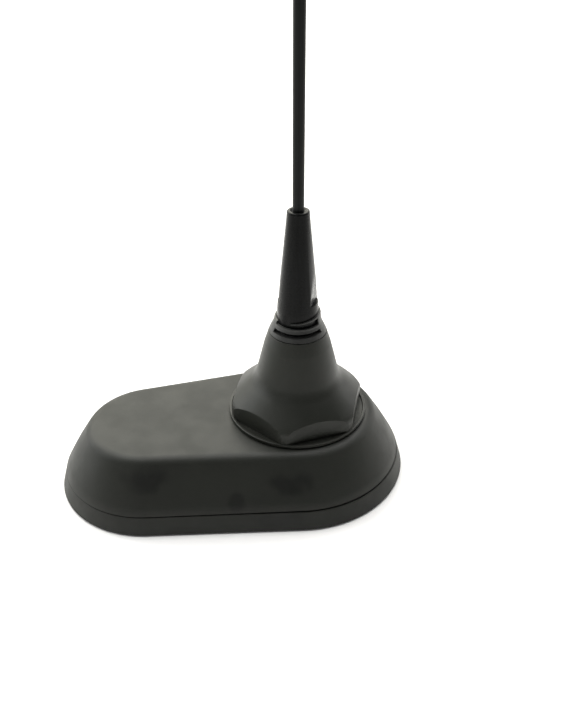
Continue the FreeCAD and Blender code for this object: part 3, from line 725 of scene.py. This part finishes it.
class ANTENNA_OT_cover(PieceOperator, bpy.types.Operator):
    """Moulded cover: a leaning wall, a rounded edge, a flat top and two holes"""

    bl_idname = "antenna.cover"
    bl_label = "Base cover"

    def execute(self, context):
        base = context.scene.antenna_base
        lean = base.cover_draft
        rise = COVER_TOP - base.skirt_height
        top_inset = base.skirt_draft + rise * math.tan(lean)
        middle_inset = (base.skirt_draft + top_inset) / 2 - base.wall_bulge * math.cos(lean)
        middle_height = (base.skirt_height + COVER_TOP) / 2 + base.wall_bulge * math.sin(lean)
        inner_inset = top_inset + 2 * base.edge_radius
        piece = belted("base_cover_shell", [
            (base.skirt_draft - MM * math.tan(lean), base.skirt_height - MM),
            (middle_inset, middle_height, base.wall_bend),
            (top_inset, COVER_TOP, base.edge_radius),
            (inner_inset, COVER_TOP),
        ], base, closed=False, arc=math.radians(4))
        close_level(COVER_TOP)
        close_up()
        apply(piece, "SOLIDIFY", thickness=base.cover_wall, offset=-1.0, use_even_offset=True)
        bpy.ops.object.mode_set(mode="EDIT")
        bpy.ops.mesh.select_all(action="SELECT")
        run = base.front_radius - TAIL_CENTRE.x + base.tail_radius
        slope = Vector((run, 0, base.gap_front - base.gap_tail)).normalized()
        low_end = Vector((TAIL_CENTRE.x - base.tail_radius, 0, base.skirt_height + base.gap_tail))
        bpy.ops.mesh.bisect(
            plane_co=low_end, plane_no=(-slope.z, 0, slope.x), use_fill=True, clear_inner=True
        )
        bpy.ops.object.mode_set(mode="OBJECT")
        apply(
            piece, "BEVEL", width=base.rim_round, segments=2, limit_method="ANGLE",
            angle_limit=math.radians(50),
        )
        neck_share = 0.728
        boss_hole = side("antenna_boss", "y", 1) * neck_share
        drill(piece, boss_hole, COVER_TOP / 2, COVER_TOP + MM)
        grommet_low, grommet_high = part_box("cable_grommet")
        centre = (grommet_low + grommet_high) / 2
        drill(piece, GROMMET_NECK, grommet_low.y, 2 * grommet_high.y, centre, "Y")
        tone = context.scene.antenna_finish.plastic
        front = -base.front_radius
        smudges = [
            (Vector((-0.007, front + 0.005, 0.0145)), (0.011, 0.012, 0.005)),
            (Vector((-0.024, front + 0.006, 0.0095)), (0.004, 0.01, 0.0042)),
            (Vector((-0.0515, front + 0.011, 0.0172)), (0.011, 0.012, 0.006)),
        ]
        finish = moulded_plastic("cover plastic", tone, 0.5, smudges)
        settle(piece, "base", "cover_plastic", finish, "base_cover")
        return {"FINISHED"}


class ANTENNA_OT_tray(PieceOperator, bpy.types.Operator):
    """Tray under the cover: a drafted skirt with rounded rims, an inner lip and a floor"""

    bl_idname = "antenna.tray"
    bl_label = "Base tray"

    def execute(self, context):
        base = context.scene.antenna_base
        slope = math.tan(base.cover_draft)
        floor_low = side("sole_pad", "z", 1)
        low_inset = base.skirt_draft * FLOOR_LIP / base.skirt_height
        lip_inset = base.skirt_draft + base.cover_wall / math.cos(base.cover_draft) + 0.15 * MM
        lip_top = base.skirt_height + base.lip_height
        lean = base.lip_height * slope
        floor_high = floor_low + base.floor_wall
        groove_low = base.skirt_height - base.seal_depth
        middle = base.tray_wall + 2 * MM
        ledge = base.sole_margin - 0.1 * MM
        piece = belted("base_tray_shell", [
            (middle, floor_high),
            (base.tray_wall, floor_high),
            (lip_inset + base.lip_wall, base.skirt_height),
            (lip_inset + lean + base.lip_wall, lip_top, base.rim_round),
            (lip_inset + lean, lip_top, base.rim_round),
            (lip_inset, groove_low),
            (base.skirt_draft + base.seal_land, groove_low),
            (base.skirt_draft + base.seal_land, base.skirt_height),
            (base.skirt_draft, base.skirt_height, base.rim_round),
            (low_inset, FLOOR_LIP, base.rim_round),
            (ledge, FLOOR_LIP),
            (ledge, floor_low),
            (middle, floor_low),
        ], base, closed=False)
        close_level(floor_high)
        close_level(floor_low)
        close_up()
        for cup, centre in (("front_pole_cup", WHIP_AXIS), ("tail_pole_cup", TAIL_CENTRE)):
            radius = side(cup, "x", 1) - centre.x + 0.1 * MM
            drill(piece, radius, 0, base.skirt_height, centre)
        low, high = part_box("cable_grommet")
        drill(piece, GROMMET_NECK, low.y - MM, 2 * high.y, (low + high) / 2, "Y")
        tone = context.scene.antenna_finish.plastic
        front = -base.front_radius
        smudges = [(Vector((-0.012, front, 0.004)), (0.012, 0.01, 0.004))]
        finish = moulded_plastic("tray plastic", shade_of(tone, 0.96), 0.52, smudges)
        settle(piece, "base", "tray_plastic", finish, "base_tray")
        return {"FINISHED"}


class ANTENNA_OT_sole(PieceOperator, bpy.types.Operator):
    """Rubber sole with rounded edges and a groove round its underside"""

    bl_idname = "antenna.sole"
    bl_label = "Sole pad"

    def execute(self, context):
        base = context.scene.antenna_base
        top = side("sole_pad", "z", 1)
        piece = belted("sole_pad_moulding", [
            (base.sole_margin + SOLE_EDGE, 0),
            (base.sole_margin, 0, base.rim_round),
            (base.sole_margin, top, 0.1 * MM),
            (base.sole_margin + SOLE_EDGE, top),
        ], base, closed=False)
        close_level(0)
        close_level(top)
        bpy.ops.mesh.select_all(action="SELECT")
        bpy.ops.mesh.normals_make_consistent(inside=False)
        pick("FACE", lambda f: len(f.verts) > 8 and f.calc_center_median().z < MERGE)
        bpy.ops.mesh.inset(thickness=base.groove_margin)
        bpy.ops.mesh.inset(thickness=base.groove_width)
        pick("FACE", lambda f: f.normal.z < -0.5 and self.in_groove(base, f.calc_center_median()))
        rise = {"value": UP * base.groove_depth}
        bpy.ops.mesh.extrude_region_move(TRANSFORM_OT_translate=rise)
        close_up()
        finish = moulded_rubber("sole rubber", context.scene.antenna_finish.rubber, 0.7)
        settle(piece, "base", "sole_rubber", finish, "sole_pad")
        return {"FINISHED"}

    @staticmethod
    def in_groove(base, place):
        """Whether a point of the underside lies between the groove's two edges."""
        inset = inset_of(base, place) - base.sole_margin - SOLE_EDGE
        return base.groove_margin < inset < base.groove_margin + base.groove_width


class ANTENNA_OT_grommet(PieceOperator, bpy.types.Operator):
    """Rubber grommet of the cable outlet, with a rounded mouth and two soft ribs"""

    bl_idname = "antenna.grommet"
    bl_label = "Cable grommet"

    def execute(self, context):
        bore = context.scene.antenna_base.cable_bore
        low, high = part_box("cable_grommet")
        centre = (low + high) / 2
        flange = high.z - centre.z
        seat = low.y + 1.4 * MM
        rib = 0.35 * MM
        piece = turned("cable_grommet_moulding", [
            (bore, low.y, 0.2 * MM),
            (flange, low.y, 0.3 * MM),
            (flange, seat, 0.2 * MM),
            (GROMMET_NECK, seat),
            (GROMMET_NECK, high.y - 3 * rib),
            (GROMMET_NECK - rib, high.y - 2 * rib, rib / 2),
            (GROMMET_NECK - rib, high.y, rib),
            (bore, high.y, rib),
            (bore, high.y - 4 * rib, rib / 3),
            (bore + rib / 2, high.y - 5 * rib, rib / 3),
            (bore, high.y - 6 * rib, rib / 3),
        ], 72, Vector((centre.x, 0, centre.z)), "Y")
        finish = moulded_rubber("grommet rubber", context.scene.antenna_finish.rubber, 0.55)
        settle(piece, "base", "grommet_rubber", finish, "cable_grommet")
        return {"FINISHED"}


# ---- Nut --------------------------------------------------------------------------------------

class ANTENNA_OT_gasket(PieceOperator, bpy.types.Operator):
    """Flat gasket that shows as the dark line under the nut's disc"""

    bl_idname = "antenna.gasket"
    bl_label = "Boot gasket"

    def execute(self, context):
        low, high = span("boot_gasket")
        width = 7.0 * MM
        outer = radius_of("boot_gasket")
        inner = outer - width
        step = (high - low) / 4
        piece = turned("boot_gasket_ring", [
            (inner, low, step / 2),
            (outer - step, low, step / 2),
            (outer, low + step, step / 2),
            (outer, high - step, step / 2),
            (outer - step, high, step / 2),
            (inner, high, step / 2),
        ], 120)
        tone = shade_of(context.scene.antenna_finish.rubber, 0.5)
        finish = moulded_rubber("gasket rubber", tone, 0.7)
        settle(piece, "gasket", "seal_rubber", finish, "boot_gasket")
        return {"FINISHED"}


class ANTENNA_OT_nut(PieceOperator, bpy.types.Operator):
    """Hexagon nut: a flared cap with six cut flats on a thin disc with recesses"""

    bl_idname = "antenna.nut"
    bl_label = "Hexagon nut"

    def execute(self, context):
        nut = context.scene.antenna_nut
        collar = context.scene.antenna_collar
        insert_radius = radius_of("nut_insert")
        insert_low, insert_high = span("nut_insert")
        former_radius = radius_of("coil_former")
        former_high = side("coil_former", "z", 1)
        stud_radius = 2.5 * MM
        ferrule_seat = side("ferrule_washer", "z", 0)
        ferrule_bore = radius_of("whip_ferrule") + collar.gap
        clearance = 0.5 * MM
        hollow = radius_of("boss_ring_nut") + clearance
        corner = DISC_RADIUS - nut.corner_margin
        corner_top = DISC_LOW + nut.disc_thickness + nut.corner_height
        key_inner = ferrule_bore + collar.key_margin
        key_outer = key_inner + collar.key_wall
        key_floor = side("slotted_collar", "z", 0)
        piece = turned("nut_boot_cap", [
            (hollow, DISC_LOW),
            (corner, DISC_LOW),
            (corner, corner_top, nut.corner_round),
            (nut.foot_radius, nut.foot_height, nut.foot_round),
            (nut.shoulder_radius, nut.shoulder_height, nut.line_round),
            (nut.rim_radius, nut.rim_height, nut.line_round),
            (nut.crown_radius, CROWN_TOP, 0.3 * MM),
            (key_outer, CROWN_TOP),
            (key_outer, key_floor),
            (key_inner, key_floor),
            (key_inner, CROWN_TOP),
            (ferrule_bore, CROWN_TOP),
            (ferrule_bore, ferrule_seat),
            (stud_radius, ferrule_seat),
            (stud_radius, former_high),
            (former_radius, former_high),
            (former_radius, insert_high),
            (insert_radius, insert_high),
            (insert_radius, insert_low),
            (hollow, insert_low),
        ], nut.steps, arc=math.radians(5))
        flats = DISC_RADIUS - nut.flat_margin
        bpy.ops.object.mode_set(mode="EDIT")
        disc_high = DISC_LOW + nut.disc_thickness
        ways = [facing(nut.turn + FULL / 12 * (2 * index + 1)) for index in range(6)]
        for outward in ways:
            bpy.ops.mesh.select_all(action="SELECT")
            bpy.ops.mesh.bisect(
                plane_co=outward * flats, plane_no=outward, use_fill=True, clear_outer=True
            )
        bpy.ops.mesh.select_all(action="SELECT")
        bpy.ops.mesh.remove_doubles(threshold=0.015 * MM)
        crease, near = math.radians(12), 0.06 * MM

        def cut_edge(edge):
            if len(edge.link_faces) != 2 or edge.calc_face_angle() <= crease:
                return False
            if max(v.co.z for v in edge.verts) <= disc_high:
                return False
            return any(all(abs(v.co.dot(way) - flats) < near for v in edge.verts) for way in ways)

        pick("EDGE", cut_edge)
        bpy.ops.mesh.bevel(offset=nut.edge_round, segments=3, affect="EDGES", clamp_overlap=True)
        close_up()
        pocket = disc_high - nut.pocket_depth
        rim_inner = DISC_RADIUS - nut.pocket_margin
        disc = turned("nut_disc", [
            (hollow + MM, DISC_LOW),
            (DISC_RADIUS, DISC_LOW, 0.15 * MM),
            (DISC_RADIUS, disc_high, 0.22 * MM),
            (rim_inner, disc_high, 0.15 * MM),
            (rim_inner, pocket, 0.1 * MM),
            (hollow + MM, pocket),
        ], nut.steps)
        combine(piece, disc, "UNION")
        tone = context.scene.antenna_finish.plastic
        finish = moulded_plastic("nut plastic", shade_of(tone, 1.12), 0.45, grain=0.4)
        settle(piece, "nut", "nut_plastic", finish, "nut_boot")
        return {"FINISHED"}


class ANTENNA_OT_collar(PieceOperator, bpy.types.Operator):
    """Rubber collar above the nut: a waisted sleeve with two rows of slots and a lip"""

    bl_idname = "antenna.collar"
    bl_label = "Slotted collar"

    def execute(self, context):
        collar = context.scene.antenna_collar
        bore = radius_of("whip_ferrule") + collar.gap
        low, high = span("slotted_collar")
        root = radius_of("slotted_collar")
        key_inner = bore + collar.key_margin
        key_outer = key_inner + collar.key_wall
        soft = collar.edge_round
        squeeze_gap = 0.06 * MM
        grip = radius_of("whip_ferrule") + squeeze_gap
        line = collar.root_line
        piece = turned("slotted_collar_sleeve", [
            (bore, CROWN_TOP),
            (key_inner, CROWN_TOP),
            (key_inner, low),
            (key_outer, low),
            (key_outer, CROWN_TOP),
            (root - 2 * line, CROWN_TOP),
            (root - 2 * line, CROWN_TOP + line),
            (root, CROWN_TOP + line, soft / 2),
            (collar.waist_radius, collar.waist_height, 3 * soft),
            (collar.neck_radius, collar.neck_height, 2 * soft),
            (collar.lip_radius, high, soft),
            (grip, high, soft),
            (grip, high - collar.lip_grip),
            (bore, high - 2 * collar.lip_grip),
        ], collar.steps)
        rows = (
            (collar.low_slot, collar.low_slot_tall),
            (collar.high_slot, collar.high_slot_tall),
        )
        for level, tall in rows:
            for half_turn in (0.0, math.pi):
                heading = collar.slot_turn + half_turn - collar.slot_spread
                combine(piece, turned("slot", [
                    (bore - MM, level),
                    (root + MM, level),
                    (root + MM, level + tall),
                    (bore - MM, level + tall),
                ], 50, sweep=2 * collar.slot_spread, heading=heading))
        bpy.ops.object.mode_set(mode="EDIT")
        pick("VERT", lambda v: v.co.z > collar.neck_height)
        bpy.ops.transform.rotate(
            value=collar.lip_tilt, orient_axis="Y", orient_type="GLOBAL",
            center_override=(-collar.lip_radius, 0, collar.neck_height),
        )
        bpy.ops.object.mode_set(mode="OBJECT")
        worn_up = Vector((-math.sin(collar.lip_slant), 0, math.cos(collar.lip_slant)))
        worn_low = Vector((-collar.lip_radius, 0, high - collar.lip_wear))
        bpy.ops.object.select_all(action="DESELECT")
        bpy.ops.mesh.primitive_cube_add(
            size=4 * root, location=worn_low + worn_up * 2 * root,
            rotation=(0, -collar.lip_slant, 0),
        )
        combine(piece, bpy.context.object)
        tone = shade_of(context.scene.antenna_finish.rubber, 1.3)
        finish = moulded_rubber("collar rubber", tone, 0.46)
        settle(piece, "nut", "collar_rubber", finish, "slotted_collar")
        return {"FINISHED"}


# ---- Whip -------------------------------------------------------------------------------------

class ANTENNA_OT_ferrule(PieceOperator, bpy.types.Operator):
    """Tapered ferrule with two wrench flats and a countersink round the rod"""

    bl_idname = "antenna.ferrule"
    bl_label = "Whip ferrule"

    def execute(self, context):
        whip = context.scene.antenna_whip
        low, high = span("whip_ferrule")
        foot = radius_of("whip_ferrule")
        rod = radius_of("whip_rod")
        rod_low = side("whip_rod", "z", 0)
        gap = 0.08 * MM
        socket = 86.0 * MM
        taper_round = 8 * MM
        piece = turned("whip_ferrule_body", [
            (whip.stud_bore, low),
            (foot, low, 0.3 * MM),
            (foot, whip.foot_height, taper_round),
            (whip.waist_radius, whip.waist_height, taper_round),
            (whip.top_radius, high, whip.top_round),
            (whip.sink_radius, high, 0.08 * MM),
            (rod + gap, high - whip.sink_depth),
            (rod + gap, socket),
            (rod, socket),
            (rod, rod_low),
            (0, rod_low),
            (0, whip.bore_top),
            (whip.stud_bore, whip.bore_top),
        ], whip.steps, arc=math.radians(2))
        tall = whip.flats_high - whip.flats_low
        for half_turn in (0.0, math.pi):
            heading = whip.flats_turn + half_turn
            reach = whip.flats_across / 2 + foot / 2
            middle = facing(heading) * reach + UP * (whip.flats_low + tall / 2)
            bpy.ops.object.select_all(action="DESELECT")
            bpy.ops.mesh.primitive_cube_add(
                size=1, location=middle, rotation=(0, 0, heading), scale=(foot, 3 * foot, tall)
            )
            combine(piece, bpy.context.object)
        tone = shade_of(context.scene.antenna_finish.lacquer, 0.5)
        finish = black_lacquer("ferrule lacquer", tone, 0.24)
        settle(piece, "whip", "black_metal", finish, "whip_ferrule")
        return {"FINISHED"}


class ANTENNA_OT_rod(PieceOperator, bpy.types.Operator):
    """Coated spring-steel rod with rounded ends"""

    bl_idname = "antenna.rod"
    bl_label = "Whip rod"

    def execute(self, context):
        low, high = span("whip_rod")
        radius = radius_of("whip_rod")
        end_round = 0.25 * MM
        piece = turned("whip_rod_wire", [
            (0, low),
            (radius, low, end_round),
            (radius, high, end_round),
            (0, high),
        ], 64)
        tone = shade_of(context.scene.antenna_finish.lacquer, 1.3)
        finish = black_lacquer("rod coating", tone, 0.42, 0.4)
        settle(piece, "whip", "rod_coating", finish, "whip_rod")
        return {"FINISHED"}


class ANTENNA_OT_tip(PieceOperator, bpy.types.Operator):
    """Rubber tip with a round end"""

    bl_idname = "antenna.tip"
    bl_label = "Whip tip"

    def execute(self, context):
        whip = context.scene.antenna_whip
        low, high = span("whip_tip")
        radius = radius_of("whip_tip")
        rod = radius_of("whip_rod")
        rod_top = side("whip_rod", "z", 1)
        piece = turned("whip_tip_cap", [
            (rod, low, 0.08 * MM),
            (rod + whip.tip_wall, low, 0.2 * MM),
            (radius, high - radius),
            (radius, high, radius - whip.tip_land),
            (0, high),
            (0, rod_top),
            (rod, rod_top),
        ], 64)
        finish = moulded_rubber("tip rubber", context.scene.antenna_finish.rubber, 0.5)
        settle(piece, "whip", "tip_rubber", finish, "whip_tip")
        return {"FINISHED"}


# ---- Pieces inside ------------------------------------------------------------------------------

class ANTENNA_OT_inner_finishes(PieceOperator, bpy.types.Operator):
    """Finishes of the magnets, contacts, board and fixings inside"""

    bl_idname = "antenna.inner_finishes"
    bl_label = "Inner pieces' finishes"

    def execute(self, context):
        tones = context.scene.antenna_finish
        groups = (
            (plated_steel("zinc plating", tones.steel),
             ("cover_screws", "front_pole_cup", "tail_pole_cup", "ground_plate", "board_screws",
              "clamp_screws", "cable_clamp", "contact_spring", "boss_ring_nut", "whip_stud")),
            (ground_ferrite("ground ferrite", tones.ferrite), ("front_magnet", "tail_magnet")),
            (turned_metal("turned brass", tones.brass),
             ("antenna_boss", "centre_contact", "contact_plunger", "contact_button", "nut_insert")),
            (masked_laminate("masked laminate", tones.laminate), ("circuit_board",)),
            (wound_copper("enamelled copper", tones.copper), ("matching_coil", "loading_coil")),
            (natural_nylon("natural nylon", tones.nylon),
             ("board_spacers", "boss_insulator", "coil_former", "ferrule_washer")),
            (chip_body("fired ceramic", tones.ceramic, 1.15 * MM), ("tuning_capacitors",)),
            (moulded_rubber("seal rubber", shade_of(tones.rubber, 0.55), 0.65),
             ("cover_seal", "boss_seal")),
        )
        for finish, nodes in groups:
            for node in nodes:
                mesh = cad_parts[node].data
                mesh.materials.clear()
                mesh.materials.append(finish)
        return {"FINISHED"}


# ---- Stage --------------------------------------------------------------------------------------

# Where the camera stands, and its pan, tilt and roll in degrees
CAMERA_PLACE = (-0.03796, -0.21207, 0.18270)
CAMERA_TURNS = ((-9.081, "Z"), (56.797, "X"), (-0.2454, "Z"))


class ANTENNA_OT_stage(PieceOperator, bpy.types.Operator):
    """Pale floor, five softboxes, a dim room and the camera"""

    bl_idname = "antenna.stage"
    bl_label = "Stage"

    def execute(self, context):
        stage = context.scene.antenna_stage
        bpy.ops.object.select_all(action="DESELECT")
        bpy.ops.mesh.primitive_plane_add(size=stage.floor_size, location=(0, 0, 0))
        floor = bpy.context.object
        floor.name = "floor"
        finish = Finish("pale floor")
        cloud = finish.spread(finish.noise(3, 2.0), 0.3, 0.7)
        base = finish.blend(cloud, shade_of(stage.floor_colour, 0.995), tuple(stage.floor_colour))
        level = finish.mottled(40, 2.0, 0.8, 0.9)
        floor.data.materials.append(finish.done(base, level, Specular_IOR_Level=0.2))
        for name, place, size, watts, tint in (
            ("overhead", (0.0, 0.4, 1.05), (1.7, 1.0), stage.overhead, (1.0, 0.995, 0.98)),
            ("back", (-0.35, 1.6, 0.95), (2.4, 1.3), stage.back, (1.0, 0.98, 0.86)),
            ("tail", (-1.05, 0.45, 0.5), (0.9, 0.8), stage.left, (0.97, 0.985, 1.0)),
            ("fill", (-1.3, -1.3, 1.0), (1.2, 0.8), stage.fill, (1.0, 0.99, 0.94)),
            ("front", (1.1, 0.5, 0.45), (0.8, 0.7), stage.right, (1.0, 0.985, 0.96)),
        ):
            self.softbox(name + " softbox", place, size, watts, tint)
        world = bpy.data.worlds.new("room")
        world.use_nodes = True
        glow = world.node_tree.nodes["Background"].inputs
        glow["Color"].default_value = (0.95, 0.97, 1.0, 1.0)
        glow["Strength"].default_value = stage.room
        context.scene.world = world
        context.scene.view_settings.view_transform = "Standard"
        turn = Matrix.Identity(4)
        for degrees, axis in CAMERA_TURNS:
            turn = turn @ Matrix.Rotation(math.radians(degrees), 4, axis)
        bpy.ops.object.camera_add(location=CAMERA_PLACE, rotation=turn.to_euler())
        camera = bpy.context.object
        camera.name = "camera"
        camera.data.lens = stage.lens
        camera.data.clip_start = 0.01
        context.scene.camera = camera
        return {"FINISHED"}

    @staticmethod
    def softbox(name, place, size, watts, tint):
        """A rectangular light that looks at the middle of the object."""
        aim = Vector((-0.01, 0.0, 0.03)) - Vector(place)
        turn = aim.to_track_quat("-Z", "Y").to_euler()
        bpy.ops.object.light_add(type="AREA", location=place, rotation=turn)
        light = bpy.context.object
        light.name = name
        light.data.shape = "RECTANGLE"
        light.data.size, light.data.size_y = size
        light.data.energy = watts
        light.data.color = tint


OPERATORS = (
    ANTENNA_OT_cover,
    ANTENNA_OT_tray,
    ANTENNA_OT_sole,
    ANTENNA_OT_grommet,
    ANTENNA_OT_gasket,
    ANTENNA_OT_nut,
    ANTENNA_OT_collar,
    ANTENNA_OT_ferrule,
    ANTENNA_OT_rod,
    ANTENNA_OT_tip,
    ANTENNA_OT_inner_finishes,
    ANTENNA_OT_stage,
)


class ANTENNA_PT_sidebar(bpy.types.Panel):
    """Buttons for the antenna's pieces"""

    bl_idname = "ANTENNA_PT_sidebar"
    bl_label = "Whip antenna"
    bl_space_type = "VIEW_3D"
    bl_region_type = "UI"
    bl_category = "Antenna"

    def draw(self, context):
        for operator in OPERATORS:
            self.layout.operator(operator.bl_idname)
        for key, group in GROUPS.items():
            box = self.layout.box()
            box.label(text=group.__doc__)
            for name in group.__annotations__:
                box.prop(getattr(context.scene, key), name)


CLASSES = (*GROUPS.values(), *OPERATORS, ANTENNA_PT_sidebar)


def register():
    for item in CLASSES:
        bpy.utils.register_class(item)
    for key, group in GROUPS.items():
        setattr(bpy.types.Scene, key, PointerProperty(type=group))


def unregister():
    for key in GROUPS:
        delattr(bpy.types.Scene, key)
    for item in reversed(CLASSES):
        bpy.utils.unregister_class(item)


def main():
    register()
    for operator in OPERATORS:
        group, name = operator.bl_idname.split(".")
        getattr(getattr(bpy.ops, group), name)()


if __name__ == "__main__":
    main()
